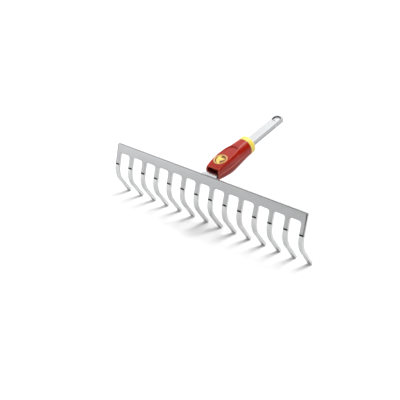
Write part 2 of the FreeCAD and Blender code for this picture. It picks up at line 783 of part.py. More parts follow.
def export(parts):
    for item in doc.Objects:
        if "Invalid" in item.State or "Error" in item.State:
            raise RuntimeError("%s is %s" % (item.Label, item.State))
    os.makedirs("parts", exist_ok=True)
    for part in parts:
        if part.Shape.isNull() or not part.Shape.isValid():
            raise RuntimeError("%s has no valid shape" % part.Label)
        part.Shape.exportStep("parts/%s.step" % part.Label)
        box = part.Shape.BoundBox
        print("%-16s solids %d  volume %9.1f  z %6.1f to %6.1f" % (
            part.Label, len(part.Shape.Solids), part.Shape.Volume, box.ZMin, box.ZMax))


fill_sheet()
build_blade()
build_neck_strip()
build_welds()
build_tang_channel()
build_tang_pin()
build_housing_upper()
build_housing_lower()
build_housing_screws()
build_collar()
build_badge()
doc.recompute()
export(stand_on_ground())
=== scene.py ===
import json
import math

import bmesh
import bpy
from mathutils import Matrix, Vector


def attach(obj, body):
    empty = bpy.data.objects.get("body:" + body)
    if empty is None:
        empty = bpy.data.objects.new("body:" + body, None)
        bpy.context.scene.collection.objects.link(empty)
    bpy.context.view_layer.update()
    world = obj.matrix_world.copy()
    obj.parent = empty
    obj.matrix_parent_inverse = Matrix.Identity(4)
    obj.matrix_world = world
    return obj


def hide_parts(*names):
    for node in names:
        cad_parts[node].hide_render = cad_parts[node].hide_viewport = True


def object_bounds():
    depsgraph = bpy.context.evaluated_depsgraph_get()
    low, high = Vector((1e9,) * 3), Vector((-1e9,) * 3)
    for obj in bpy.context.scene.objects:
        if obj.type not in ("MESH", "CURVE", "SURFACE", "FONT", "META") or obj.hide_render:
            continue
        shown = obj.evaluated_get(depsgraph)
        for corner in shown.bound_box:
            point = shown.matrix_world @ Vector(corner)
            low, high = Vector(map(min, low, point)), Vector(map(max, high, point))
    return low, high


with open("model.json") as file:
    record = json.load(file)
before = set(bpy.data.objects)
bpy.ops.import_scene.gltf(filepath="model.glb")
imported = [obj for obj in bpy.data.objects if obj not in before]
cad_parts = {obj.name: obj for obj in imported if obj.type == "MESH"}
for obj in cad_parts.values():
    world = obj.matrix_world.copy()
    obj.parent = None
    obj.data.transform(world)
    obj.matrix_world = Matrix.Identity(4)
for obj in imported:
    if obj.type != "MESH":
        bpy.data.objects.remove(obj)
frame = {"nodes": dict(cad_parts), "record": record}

MM = 0.001
CAD_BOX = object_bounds()
MOUNTS = {mount["name"]: mount for mount in frame["record"]["mounts"]}

# Sizes of the tool in millimetres and angles in radians, in tool axes: X along the blade,
# Y along the tang, Z square to both, origin in the middle of the bend line.
TINES = 14
BLADE_LENGTH = 421.0
BLADE_THICK = 4.8
BLADE_BEVEL = 1.1
BLADE_RISE = 37.9
BLADE_CORNER = 3.0
BLADE_LEAN = math.radians(27.0)
GAP_TOP = 21.5
GAP_CORNER = 4.5
TINE_WIDTH = 9.2
TINE_CORNER = 1.0
TINE_SWEEP = math.radians(49.0)
BEND_DROP = 3.0
BEND_RADIUS = 40.0
BEND_STEPS = 24
TIP_LENGTH = 34.0

# Marks on the blade: a scored crease, with painted shade, painted dark reflections and painted
# sheen on its faces and edges. Levels are in the flat pattern, up the sheet from the bend line.
TOP_RIM = 1.4
END_RIM = 1.9
REAR_LINE = 2.9
TINE_START = -1.0
SHEEN_FADE = 16.0
END_FADE_START = 14.0
END_FADE = 20.0
END_FADE_CUTS = (10.0, 16.0, 20.0, 24.0, 28.0, 32.0)
CREASE_SHADE_HALF = 1.42
CREASE_SHADE_DEPTH = 0.6
CREASE_CUTS = [-1.5, -1.38, -0.85, -0.6, 0.6, 0.85, 1.38, 1.5]
SCORE_HALF = 0.7
SCORE_SKIN = 0.3
SCORE_DEPTH = 0.4
TOP_DARK = 0.9
REAR_DARK = 0.85
END_DARK = 0.5
CORNER_DARK = 0.45
SIDE_SHEEN = 0.9
TINE_SHEEN = 0.6

# On a flat sheet, a cut side faces along the sheet and its normal has less Z than
# SIDE_LEVEL. A face of the sheet has more than FACE_LEVEL, and a rounded rim lies between.
SIDE_LEVEL = 0.15
FACE_LEVEL = 0.97

# The looks are scaled by this about the middle of the CAD box, to stay inside it.
TRIM = 0.9998

TANG_WIDTH = 18.0
TANG_HEIGHT = 8.4
TANG_WALL = 2.0
TANG_TOP = 31.75
TANG_START = 62.0
TANG_END = 220.5
TANG_CORNER = 4.5
TANG_CORNER_START = 200.0
LATCH_RADIUS = 7.0
LATCH_Y = 211.0
LATCH_STEPS = 72
FLARE_WIDTH = 1.2
FLARE_SINK = 0.08
FLARE_REACH = 1.3
GROOVE_DEPTH = 0.35
GROOVE_END = 194.0
GROOVE_RUNOUT = 1.2

STRIP_THICK = 4.0
STRIP_BEVEL = 0.8
STRIP_RADIUS = 7.0
STRIP_LAP = 8.5
STRIP_GAP = 0.1
STRIP_SHORT = 1.5
STRIP_CHAMFER = 3.0
TAPER_START = TANG_START - 16.0
TAPER_END = TANG_START - 6.0
NECK_HALF = 11.8
FOOT_HALF = 17.0
WELD_SHORT = 5.0
WELD_COLUMNS = 160
WELD_AROUND = 14
WELD_PITCH = 1.9

HOUSING_START = 33.0
HOUSING_LENGTH = 86.0
SPLIT = 27.5
SPIGOT_RADIUS = 13.2
SPIGOT_LENGTH = 7.5
COLLAR_RADIUS = 16.7
COLLAR_LENGTH = 10.0
FIT_GAP = 0.1
WINDOW_GAP = 0.15
SCREW_PLACES = (42.0, 71.0)
SCREW_RECESS = 3.7
SCREW_PILOT = 2.1
BOSS_RADIUS = 5.6
BADGE_RADIUS = 12.0
BADGE_INNER = 10.0
BADGE_CENTRE = 24.0
BADGE_LEVEL = 13.95
BADGE_TILT = math.radians(4.4)
BADGE_SINK = 1.5
BADGE_RING = 0.7

# Smallest angle, in degrees, between two faces that shows as a crease.
SHEET_CREASE = 12.0
CREASE = 35.0
SHELL_CREASE = 38.0
LEAF_CREASE = 50.0
ROUND_CREASE = 60.0


def tool_matrix():
    """Tool axes in the frame: the latch hole's mount gives their tilt and their place."""
    latch = MOUNTS["latch_hole"]
    axis = Vector(latch["axis"])
    turn = Matrix.Rotation(math.atan2(-axis.y, axis.z), 4, "X")
    hole = Vector((0.0, LATCH_Y, TANG_TOP - TANG_WALL / 2)) * MM
    origin = Vector(latch["pos_m"]) - turn @ hole
    return Matrix.Translation(origin) @ turn


TOOL = tool_matrix()
TILT = TOOL.to_euler().x


def scale_mm(matrix=None):
    """Millimetres in tool axes (after an extra local matrix in millimetres) to the frame."""
    scale = Matrix.Diagonal((MM, MM, MM, 1.0))
    middle = Matrix.Translation((Vector(CAD_BOX[0]) + Vector(CAD_BOX[1])) / 2)
    trim = middle @ Matrix.Diagonal((TRIM, TRIM, TRIM, 1.0)) @ middle.inverted()
    return trim @ TOOL @ scale @ (matrix if matrix is not None else Matrix.Identity(4))


# ---------------------------------------------------------------- node materials


def new_material(name):
    material = bpy.data.materials.new(name)
    material.use_nodes = True
    tree = material.node_tree
    tree.nodes.clear()
    output = tree.nodes.new("ShaderNodeOutputMaterial")
    shader = tree.nodes.new("ShaderNodeBsdfPrincipled")
    tree.links.new(shader.outputs["BSDF"], output.inputs["Surface"])
    return material, tree, shader


def add_node(tree, kind, values=None, **settings):
    node = tree.nodes.new(kind)
    for key, value in settings.items():
        setattr(node, key, value)
    for key, value in (values or {}).items():
        node.inputs[key].default_value = value
    return node


def object_space(tree, scale=(1.0, 1.0, 1.0), tilt=0.0):
    """Coordinates fixed to the tool, in metres, turned to follow the part and stretched."""
    place = add_node(tree, "ShaderNodeTexCoord")
    turn = add_node(tree, "ShaderNodeMapping", vector_type="POINT")
    turn.inputs["Rotation"].default_value = (-tilt, 0.0, 0.0)
    stretch = add_node(tree, "ShaderNodeMapping", vector_type="POINT")
    stretch.inputs["Scale"].default_value = scale
    tree.links.new(place.outputs["Object"], turn.inputs["Vector"])
    tree.links.new(turn.outputs["Vector"], stretch.inputs["Vector"])
    return stretch.outputs["Vector"]


def noise(tree, vector, scale, detail=3.0, roughness=0.5):
    node = add_node(tree, "ShaderNodeTexNoise",
                    {"Scale": scale, "Detail": detail, "Roughness": roughness})
    tree.links.new(vector, node.inputs["Vector"])
    return node.outputs["Fac"]


def remap(tree, value, low, high, to_low, to_high):
    node = add_node(tree, "ShaderNodeMapRange", {
        "From Min": low, "From Max": high, "To Min": to_low, "To Max": to_high})
    tree.links.new(value, node.inputs["Value"])
    return node.outputs["Result"]


def math_node(tree, operation, first, second):
    node = add_node(tree, "ShaderNodeMath", operation=operation)
    for socket, value in zip(node.inputs, (first, second)):
        if isinstance(value, (int, float)):
            socket.default_value = value
        else:
            tree.links.new(value, socket)
    return node.outputs["Value"]


def mix_colour(tree, factor, first, second, blend="MIX"):
    node = add_node(tree, "ShaderNodeMix", data_type="RGBA", blend_type=blend)
    tree.links.new(factor, node.inputs[0])
    for socket, value in ((node.inputs[6], first), (node.inputs[7], second)):
        if isinstance(value, tuple):
            socket.default_value = (*value, 1.0)
        else:
            tree.links.new(value, socket)
    return node.outputs[2]


def weighted_sum(tree, first, first_weight, second, second_weight):
    return math_node(tree, "ADD", math_node(tree, "MULTIPLY", first, first_weight),
                     math_node(tree, "MULTIPLY", second, second_weight))


def tone_between(tree, value, dark, light):
    """Colour that runs from dark to light as a noise rises through its middle."""
    return mix_colour(tree, remap(tree, value, 0.35, 0.65, 0.0, 1.0), dark, light)


def set_roughness(tree, shader, value, low, high):
    """Roughness that runs from low to high as a noise rises."""
    tree.links.new(remap(tree, value, 0.3, 0.7, low, high), shader.inputs["Roughness"])


def bump(tree, shader, height, strength, distance):
    node = add_node(tree, "ShaderNodeBump", {"Strength": strength, "Distance": distance})
    tree.links.new(height, node.inputs["Height"])
    tree.links.new(node.outputs["Normal"], shader.inputs["Normal"])


def edge_wear_and_highlight(tree, width):
    """One near an outside edge and nought on flat ground, from the surface's curvature."""
    geometry = add_node(tree, "ShaderNodeNewGeometry")
    return remap(tree, geometry.outputs["Pointiness"], 0.5 + width * 0.2, 0.5 + width, 0.0, 1.0)


# Painted shade on moulded plastic, darker towards its underside: darkest under the low height and
# none over the high height, heights in metres square to the tang.
SHADE_LOW = 0.102
SHADE_HIGH = 0.126
SHADE_AMOUNT = 0.85
SHADE_TONE = 0.32
# Colours mixed over the steel: painted shade in the bend crease, painted shade and dark
# reflections on darkened faces, and painted sheen on cut sides and tines.
MARK_TONES = {"crease_shade": (0.012, 0.012, 0.014), "bare_and_shade": (0.02, 0.02, 0.022),
              "painted_sheen": (0.67, 0.675, 0.68)}
STEEL_RELIEF = 0.00006
PLASTIC_RELIEF = 0.00005
ENAMEL_RELIEF = 0.00008
WELD_RELIEF = 0.0001


def zinc_steel(name, light, dark, rough, grain, tilt, brushed=(1.0, 1.0, 1.0), marks=()):
    """Zinc-plated sheet: cloudy plating, fine rolling lines, small pits, and faces with painted
    shade and painted sheen.
    """
    material, tree, shader = new_material(name)
    flat = object_space(tree, tilt=tilt)
    lines = object_space(tree, brushed, tilt)
    clouds = noise(tree, flat, 28.0, 4.0, 0.55)
    spangle = noise(tree, flat, 320.0, 5.0, 0.6)
    rolling = noise(tree, lines, 900.0, 3.0, 0.6)
    speck = remap(tree, noise(tree, flat, 1400.0, 2.0, 0.5), 0.68, 0.8, 0.0, 1.0)
    colour = tone_between(tree, weighted_sum(tree, clouds, 0.55, spangle, 0.45), dark, light)
    streak = remap(tree, rolling, 0.3, 0.7, 0.0, 0.16)
    colour = mix_colour(tree, streak, colour, (dark[0] * 0.6, dark[1] * 0.6, dark[2] * 0.62))
    pitted = math_node(tree, "MULTIPLY", speck, 0.35)
    colour = mix_colour(tree, pitted, colour, (dark[0] * 0.4, dark[1] * 0.4, dark[2] * 0.4))
    # mix in the painted shade and painted sheen marked on the mesh
    for mark in marks:
        attribute = add_node(tree, "ShaderNodeAttribute", attribute_name=mark)
        colour = mix_colour(tree, attribute.outputs["Fac"], colour, MARK_TONES[mark])
    tree.links.new(colour, shader.inputs["Base Color"])
    varied = weighted_sum(tree, spangle, 0.6, rolling, 0.4)
    set_roughness(tree, shader, varied, rough - 0.07, rough + 0.09)
    shader.inputs["Metallic"].default_value = 1.0
    height = weighted_sum(tree, rolling, 0.7, spangle, 0.5)
    bump(tree, shader, height, grain, STEEL_RELIEF)
    return material


def moulded_plastic(name, colour, deep, worn_highlight, rough, shine):
    """Moulded plastic: faint flow clouds, painted shade towards the underside, edges lightened as
    wear and as a painted highlight, tiny scratches.
    """
    material, tree, shader = new_material(name)
    flat = object_space(tree)
    long = object_space(tree, (1.0, 0.18, 1.0), TILT)
    flow = noise(tree, long, 60.0, 3.0, 0.5)
    fine = noise(tree, flat, 2600.0, 2.0, 0.5)
    scratch = remap(tree, noise(tree, long, 1500.0, 2.0, 0.4), 0.66, 0.74, 0.0, 1.0)
    base = tone_between(tree, flow, deep, colour)
    axes = add_node(tree, "ShaderNodeSeparateXYZ")
    tree.links.new(long, axes.inputs[0])
    # painted shade: the colour darkens towards the underside, where shade falls
    painted_shade = remap(tree, axes.outputs["Z"], SHADE_LOW, SHADE_HIGH, SHADE_AMOUNT, 0.0)
    base = mix_colour(tree, painted_shade, base, tuple(SHADE_TONE * tone for tone in deep))
    # lighter edges: partly rubbed wear, partly a painted highlight along the ridges
    rubbed_highlight = math_node(tree, "MULTIPLY", edge_wear_and_highlight(tree, 0.03), 0.6)
    base = mix_colour(tree, rubbed_highlight, base, worn_highlight)
    tree.links.new(base, shader.inputs["Base Color"])
    dull = math_node(tree, "ADD", remap(tree, fine, 0.3, 0.7, rough - 0.03, rough + 0.05),
                     math_node(tree, "MULTIPLY", scratch, 0.12))
    tree.links.new(dull, shader.inputs["Roughness"])
    shader.inputs["IOR"].default_value = 1.5
    shader.inputs["Specular IOR Level"].default_value = shine
    height = weighted_sum(tree, fine, 0.5, scratch, -0.4)
    bump(tree, shader, height, 0.12, PLASTIC_RELIEF)
    return material


def enamel(name, colour, deep, rough, metallic=0.0):
    """Badge finishes: slightly pooled colour with a fine orange-peel surface."""
    material, tree, shader = new_material(name)
    flat = object_space(tree)
    pooled = noise(tree, flat, 700.0, 3.0, 0.6)
    peel = noise(tree, flat, 2100.0, 2.0, 0.5)
    tree.links.new(tone_between(tree, pooled, deep, colour), shader.inputs["Base Color"])
    set_roughness(tree, shader, peel, rough - 0.05, rough + 0.08)
    shader.inputs["Metallic"].default_value = metallic
    bump(tree, shader, peel, 0.25, ENAMEL_RELIEF)
    return material


def weld_metal():
    """Weld beads: cloudy grey metal with a gritty surface."""
    material, tree, shader = new_material("weld_metal")
    flat = object_space(tree)
    clouds = noise(tree, flat, 260.0, 4.0, 0.6)
    grit = noise(tree, flat, 1800.0, 3.0, 0.6)
    base = tone_between(tree, clouds, (0.30, 0.29, 0.28), (0.52, 0.52, 0.53))
    tree.links.new(base, shader.inputs["Base Color"])
    set_roughness(tree, shader, grit, 0.38, 0.6)
    shader.inputs["Metallic"].default_value = 1.0
    bump(tree, shader, grit, 0.6, WELD_RELIEF)
    return material


# ---------------------------------------------------------------- mesh helpers


def rounded_outline(corners, steps):
    """Closed outline in two dimensions; each corner is (u, v, radius)."""
    outline = []
    count = len(corners)
    for k, (u, v, radius) in enumerate(corners):
        here = Vector((u, v))
        if radius <= 0:
            outline.append(here)
            continue
        before = (Vector(corners[k - 1][:2]) - here).normalized()
        after = (Vector(corners[(k + 1) % count][:2]) - here).normalized()
        half = before.angle(after) / 2
        reach = radius / math.tan(half)
        centre = here + (before + after).normalized() * (radius / math.sin(half))
        start = here + before * reach - centre
        end = here + after * reach - centre
        sweep = math.atan2(start.x * end.y - start.y * end.x, start.dot(end))
        for step in range(steps + 1):
            angle = sweep * step / steps
            turn = Matrix.Rotation(angle, 2)
            outline.append(centre + turn @ start)
    return outline


def plate(outline, thick, bevel, segments):
    """Flat sheet in u, v with its depth from 0 to thick, every rim edge rounded."""
    form = bmesh.new()
    face = form.faces.new([form.verts.new((point.x, point.y, 0.0)) for point in outline])
    bmesh.ops.recalc_face_normals(form, faces=[face])
    if face.normal.z > 0:
        bmesh.ops.reverse_faces(form, faces=[face])
    grown = bmesh.ops.extrude_face_region(form, geom=[face])
    raised = [item for item in grown["geom"] if isinstance(item, bmesh.types.BMVert)]
    bmesh.ops.translate(form, verts=raised, vec=(0.0, 0.0, thick))
    bmesh.ops.recalc_face_normals(form, faces=form.faces)
    rims = [edge for edge in form.edges
            if abs(edge.verts[0].co.z - edge.verts[1].co.z) < 1e-6]
    bmesh.ops.bevel(form, geom=rims, offset=bevel, segments=segments, profile=0.5,
                    affect="EDGES", clamp_overlap=True)
    return form


def slice_across(form, levels, axis):
    """Cut the mesh by planes square to an axis, so that it can bend smoothly."""
    normal = Vector((0.0, 0.0, 0.0))
    normal[axis] = 1.0
    for level in levels:
        bmesh.ops.bisect_plane(form, geom=form.verts[:] + form.edges[:] + form.faces[:],
                               plane_co=normal * level, plane_no=normal, dist=1e-5)


def finish_piece(name, form, material, nodes, matrix, smooth=CREASE):
    """Mesh object in the frame that stands for CAD nodes and rides on the root body."""
    bmesh.ops.remove_doubles(form, verts=form.verts, dist=1e-6)
    bmesh.ops.recalc_face_normals(form, faces=form.faces)
    mesh = bpy.data.meshes.new(name)
    form.to_mesh(mesh)
    form.free()
    mesh.transform(matrix)
    mesh.update()
    mesh.polygons.foreach_set("use_smooth", [True] * len(mesh.polygons))
    mesh.set_sharp_from_angle(angle=math.radians(smooth))
    piece = bpy.data.objects.new(name, mesh)
    bpy.context.scene.collection.objects.link(piece)
    mesh.materials.append(material)
    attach(piece, "root")
    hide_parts(*nodes)


def join_rings(form, near, far):
    """Faces between two closed rings of the same number of points."""
    for k in range(len(near)):
        after = (k + 1) % len(near)
        form.faces.new((near[k], near[after], far[after], far[k]))


def lathe(profile, steps):
    """Ring of revolution about local Y from (radius, y) points."""
    form = bmesh.new()
    rings = []
    for step in range(steps):
        angle = 2 * math.pi * step / steps
        rings.append([form.verts.new((radius * math.cos(angle), y, radius * math.sin(angle)))
                      for radius, y in profile])
    for step in range(steps):
        join_rings(form, rings[step], rings[(step + 1) % steps])
    return form


def cutter_from(form, matrix=None):
    """Temporary object for a boolean cut, in millimetres."""
    bmesh.ops.recalc_face_normals(form, faces=form.faces)
    mesh = bpy.data.meshes.new("cutter")
    form.to_mesh(mesh)
    form.free()
    if matrix is not None:
        mesh.transform(matrix)
    cutter = bpy.data.objects.new("cutter", mesh)
    bpy.context.scene.collection.objects.link(cutter)
    return cutter


def cut_mesh(form, cuts):
    """Apply boolean cuts, given as (operation, cutter) pairs, and return the new mesh."""
    work = cutter_from(form)
    for operation, cutter in cuts:
        modifier = work.modifiers.new("cut", "BOOLEAN")
        modifier.operation = operation
        modifier.solver = "EXACT"
        modifier.object = cutter
    graph = bpy.context.evaluated_depsgraph_get()
    result = bmesh.new()
    result.from_mesh(work.evaluated_get(graph).to_mesh())
    for item in [work] + [cutter for _, cutter in cuts]:
        mesh = item.data
        bpy.data.objects.remove(item)
        bpy.data.meshes.remove(mesh)
    return result


def darken_hole(form):
    """Painted shade: darken the tang's sides a little, and the latch hole's wall and sunk ring
    strongly; the wall's darkness is partly bare punched steel, partly painted shade.
    """
    bare_and_shade = form.faces.layers.float.new("bare_and_shade")
    form.normal_update()
    for face in form.faces:
        if abs(face.normal.x) > 0.2:
            face[bare_and_shade] = 0.36
        reach = [math.hypot(vert.co.x, vert.co.y - LATCH_Y) for vert in face.verts]
        sunk = max(vert.co.z for vert in face.verts) < TANG_TOP - FLARE_SINK / 2
        if max(reach) > LATCH_RADIUS + FLARE_REACH:
            continue
        if abs(face.normal.z) < 0.8:
            face[bare_and_shade] = 0.95
        elif sunk and face.normal.z > 0:
            face[bare_and_shade] = 0.75


def cylinder(radius, low, high, y=0.0, steps=64):
    """Upright cylinder along local Z."""
    form = bmesh.new()
    bmesh.ops.create_cone(form, cap_ends=True, segments=steps, radius1=radius, radius2=radius,
                          depth=high - low)
    bmesh.ops.translate(form, verts=form.verts, vec=(0.0, y, (low + high) / 2))
    return form


def box_mesh(low, high):
    form = bmesh.new()
    bmesh.ops.create_cube(form, size=1.0)
    size = Vector(high) - Vector(low)
    middle = (Vector(high) + Vector(low)) / 2
    bmesh.ops.scale(form, verts=form.verts, vec=size)
    bmesh.ops.translate(form, verts=form.verts, vec=middle)
    return form


# ---------------------------------------------------------------- blade


def bend_blade(x, s, depth):
    """Flat pattern (s up the sheet from the bend line) to plate axes."""
    run = BEND_RADIUS * TINE_SWEEP
    below = -s - BEND_DROP
    if below <= 0:
        return Vector((x, depth, s))
    inner = BEND_RADIUS - depth
    angle = min(below / BEND_RADIUS, TINE_SWEEP)
    y = BEND_RADIUS - inner * math.cos(angle)
    z = -BEND_DROP - inner * math.sin(angle)
    past = max(0.0, below - run)
    return Vector((x, y + past * math.sin(TINE_SWEEP), z - past * math.cos(TINE_SWEEP)))


def comb_outline():
    """Flat pattern of the blade: a straight top edge and the tines below it."""
    half = BLADE_LENGTH / 2
    pitch = (BLADE_LENGTH - TINE_WIDTH) / (TINES - 1)
    tip = -(BEND_DROP + BEND_RADIUS * TINE_SWEEP + TIP_LENGTH)
    corners = [(-half, BLADE_RISE, BLADE_CORNER), (half, BLADE_RISE, BLADE_CORNER)]
    for tine in reversed(range(TINES)):
        centre = (tine - (TINES - 1) / 2) * pitch
        right = centre + TINE_WIDTH / 2
        left = centre - TINE_WIDTH / 2
        corners += [(right, tip, TINE_CORNER), (left, tip, TINE_CORNER)]
        if tine:
            next_right = left - (pitch - TINE_WIDTH)
            corners += [(left, GAP_TOP, GAP_CORNER), (next_right, GAP_TOP, GAP_CORNER)]
    return rounded_outline(corners, 6)


def mark_edges(form):
    """Paint a lighter sheen that stands for reflected light on the cut sides and the tines, and
    paint shade and dark reflections on the top edge and both ends.
    """
    painted_sheen = form.faces.layers.float.new("painted_sheen")
    bare_and_shade = form.faces.layers.float.new("bare_and_shade")
    form.normal_update()
    for face in form.faces:
        x, s, depth = face.calc_center_median()
        level = abs(face.normal.z)
        rounded = SIDE_LEVEL < level < FACE_LEVEL
        top = s > BLADE_RISE - TOP_RIM
        end = abs(x) > BLADE_LENGTH / 2 - END_RIM and s > TINE_START
        corner = min(1.0, max(0.0, (s - END_FADE_START) / END_FADE))
        # painted shade and dark reflections on the top rim, the top's rear side and both ends,
        # growing towards the top corners
        if rounded and top:
            face[bare_and_shade] = TOP_DARK
        elif top and level < SIDE_LEVEL and depth > REAR_LINE:
            face[bare_and_shade] = REAR_DARK
        elif end and (rounded or level > FACE_LEVEL):
            face[bare_and_shade] = END_DARK + CORNER_DARK * corner
        # painted sheen: lighter colour on the cut sides, and down the tines as they turn to face
        # the floor
        elif level < 0.6:
            face[painted_sheen] = SIDE_SHEEN
        elif s < TINE_START:
            fade = 1.0 if face.normal.z < 0 else min(1.0, -s / SHEEN_FADE)
            face[painted_sheen] = TINE_SHEEN * fade


def build_blade():
    """Comb blade, cut flat, marked and then bent."""
    form = plate(comb_outline(), BLADE_THICK, BLADE_BEVEL, 4)
    run = BEND_RADIUS * TINE_SWEEP
    arc_cuts = [-BEND_DROP - run * k / BEND_STEPS for k in range(BEND_STEPS + 1)]
    tip_cuts = [-BEND_DROP - run - TIP_LENGTH * k / 4 for k in (1, 2, 3)]
    slice_across(form, arc_cuts + tip_cuts + CREASE_CUTS + [GAP_TOP - GAP_CORNER], 1)
    slice_across(form, END_FADE_CUTS, 1)
    slice_across(form, [END_RIM - BLADE_LENGTH / 2, BLADE_LENGTH / 2 - END_RIM], 0)
    slice_across(form, [REAR_LINE], 2)
    mark_edges(form)
    # painted shade: a near-black band across the bend line on the front skin, in and around the
    # scored crease
    mark = form.verts.layers.float.new("crease_shade")
    for vert in form.verts:
        x, s, depth = vert.co
        if depth < CREASE_SHADE_DEPTH and abs(s) < CREASE_SHADE_HALF:
            vert[mark] = 1.0
        if depth < SCORE_SKIN and abs(s) < SCORE_HALF:
            depth += SCORE_DEPTH
        vert.co = bend_blade(x, s, depth)
    lean = Matrix.Rotation(-BLADE_LEAN, 4, "X")
    steel = zinc_steel("satin_zinc", (0.428, 0.432, 0.437), (0.398, 0.402, 0.407), rough=0.50,
                       grain=0.12, tilt=TILT - BLADE_LEAN, brushed=(0.12, 1.0, 1.0),
                       marks=("painted_sheen", "bare_and_shade", "crease_shade"))
    finish_piece("comb_blade", form, steel, ["rake_blade"], scale_mm(lean),
                 SHEET_CREASE)


# ---------------------------------------------------------------- neck strip


def neck_shape():
    """Where the strip's top face bends, and how the foot lies on the blade."""
    turn = math.pi / 2 - BLADE_LEAN
    level = TANG_TOP - TANG_WALL
    up = Vector((0.0, math.sin(BLADE_LEAN), math.cos(BLADE_LEAN)))
    back = Vector((0.0, math.cos(BLADE_LEAN), -math.sin(BLADE_LEAN)))
    face = back * BLADE_THICK
    corner = face + up * ((level - face.z) / up.z)
    reach = STRIP_RADIUS * math.tan(turn / 2)
    return {"turn": turn, "level": level, "up": up, "back": back, "corner": corner,
            "reach": reach, "bend": corner.y + reach}


def bend_strip(x, s, depth, shape):
    """Flat pattern (s is tool Y on the top face) to tool axes."""
    bend, level, turn = shape["bend"], shape["level"], shape["turn"]
    if s >= bend:
        return Vector((x, s, level - depth))
    inner = STRIP_RADIUS - depth
    angle = min((bend - s) / STRIP_RADIUS, turn)
    past = max(0.0, bend - s - STRIP_RADIUS * turn)
    y = bend - inner * math.sin(angle) - past * math.cos(turn)
    z = level - STRIP_RADIUS + inner * math.cos(angle) - past * math.sin(turn)
    return Vector((x, y, z))


def build_neck(steel):
    """Flat bar that runs inside the tang, bends down and lies behind the blade."""
    shape = neck_shape()
    bend = shape["bend"]
    run = STRIP_RADIUS * shape["turn"]
    foot = bend - run - (STRIP_LAP - shape["reach"] / 2)
    slim = TANG_WIDTH / 2 - TANG_WALL - STRIP_GAP
    rear = TANG_END - STRIP_SHORT
    right = [(slim - STRIP_CHAMFER, rear, 1.6), (slim, rear - STRIP_CHAMFER, 1.6),
             (slim, TAPER_END, 4.0), (NECK_HALF, TAPER_START, 4.0), (NECK_HALF, bend + 3.5, 2.2),
             (FOOT_HALF, bend + 1.0, 2.4), (FOOT_HALF, foot, 3.0)]
    left = [(-x, s, radius) for x, s, radius in reversed(right)]
    form = plate(rounded_outline(right + left, 5), STRIP_THICK, STRIP_BEVEL, 3)
    arc = [bend - run * k / 12 for k in range(13)]
    slice_across(form, arc + [TAPER_START, TAPER_END, 100.0, 150.0, 190.0], 1)
    # painted shade and dark reflections on the rounded rims, and lighter painted shade on the cut
    # sides
    bare_and_shade = form.faces.layers.float.new("bare_and_shade")
    form.normal_update()
    for face in form.faces:
        level = abs(face.normal.z)
        if SIDE_LEVEL < level < FACE_LEVEL:
            face[bare_and_shade] = 0.95
        else:
            face[bare_and_shade] = 0.0 if level > 0.5 else 0.35
    for vert in form.verts:
        x, s, depth = vert.co
        vert.co = bend_strip(x, s, depth, shape)
    hole = cylinder(LATCH_RADIUS - 0.9, 20.0, 40.0, LATCH_Y)
    form = cut_mesh(form, [("DIFFERENCE", cutter_from(hole))])
    finish_piece("neck_strip_bar", form, steel, ["neck_strip"], scale_mm(),
                 SHEET_CREASE)


def weld_bead(name, start, across, up, radius, material, node):
    """Row of overlapping weld ripples along X."""
    form = bmesh.new()
    length = FOOT_HALF * 2 - WELD_SHORT
    rings = []
    for column in range(WELD_COLUMNS + 1):
        x = length * (column / WELD_COLUMNS - 0.5)
        ripple = 1.0 + 0.09 * abs(math.sin(x * math.pi / WELD_PITCH)) + 0.04 * math.sin(x * 0.9)
        taper = min(1.0, math.sqrt(max(0.0, (length / 2 - abs(x)) / radius)) + 0.05)
        size = radius * ripple * taper
        ring = []
        for k in range(WELD_AROUND):
            angle = 2 * math.pi * k / WELD_AROUND
            point = start + across * (size * math.cos(angle)) + up * (size * math.sin(angle))
            ring.append(form.verts.new((x, point.y, point.z)))
        rings.append(ring)
    for near, far in zip(rings, rings[1:]):
        join_rings(form, near, far)
    form.faces.new(rings[0])
    form.faces.new(rings[-1])
    finish_piece(name, form, material, [node], scale_mm(), ROUND_CREASE)


def build_welds():
    """One bead in the crook of the neck's bend and one under the toe of its foot."""
    shape = neck_shape()
    metal = weld_metal()
    up, back, corner = shape["up"], shape["back"], shape["corner"]
    crook = corner + back * 1.0 - up * 0.4
    weld_bead("weld_crook", crook, back, up, 1.7, metal, "weld_bead_upper")
    run = STRIP_LAP + shape["reach"] / 2
    toe = corner - up * (run + 0.2) + back * 1.2
    weld_bead("weld_toe", toe, back, up, 2.0, metal, "weld_bead_lower")


# ---------------------------------------------------------------- tang


def tang_section(groove):
    """Channel section as a closed outline of (x, z), with a groove depth on both sides."""
    half = TANG_WIDTH / 2
    low = TANG_TOP - TANG_HEIGHT
    middle = low + TANG_HEIGHT / 2 - 0.6
    right = [
        (half - 0.8, TANG_TOP), (half - 0.4, TANG_TOP - 0.1), (half - 0.1, TANG_TOP - 0.4),
        (half, TANG_TOP - 0.8), (half, middle + 0.95), (half - groove, middle + 0.6),
        (half - groove, middle - 0.6), (half, middle - 0.95), (half, low + 0.4),
        (half - 0.4, low), (half - TANG_WALL + 0.4, low), (half - TANG_WALL, low + 0.4),
        (half - TANG_WALL, TANG_TOP - TANG_WALL - 0.5),
        (half - TANG_WALL - 0.5, TANG_TOP - TANG_WALL),
    ]
    left = [(-x, z) for x, z in reversed(right)]
    return right + left


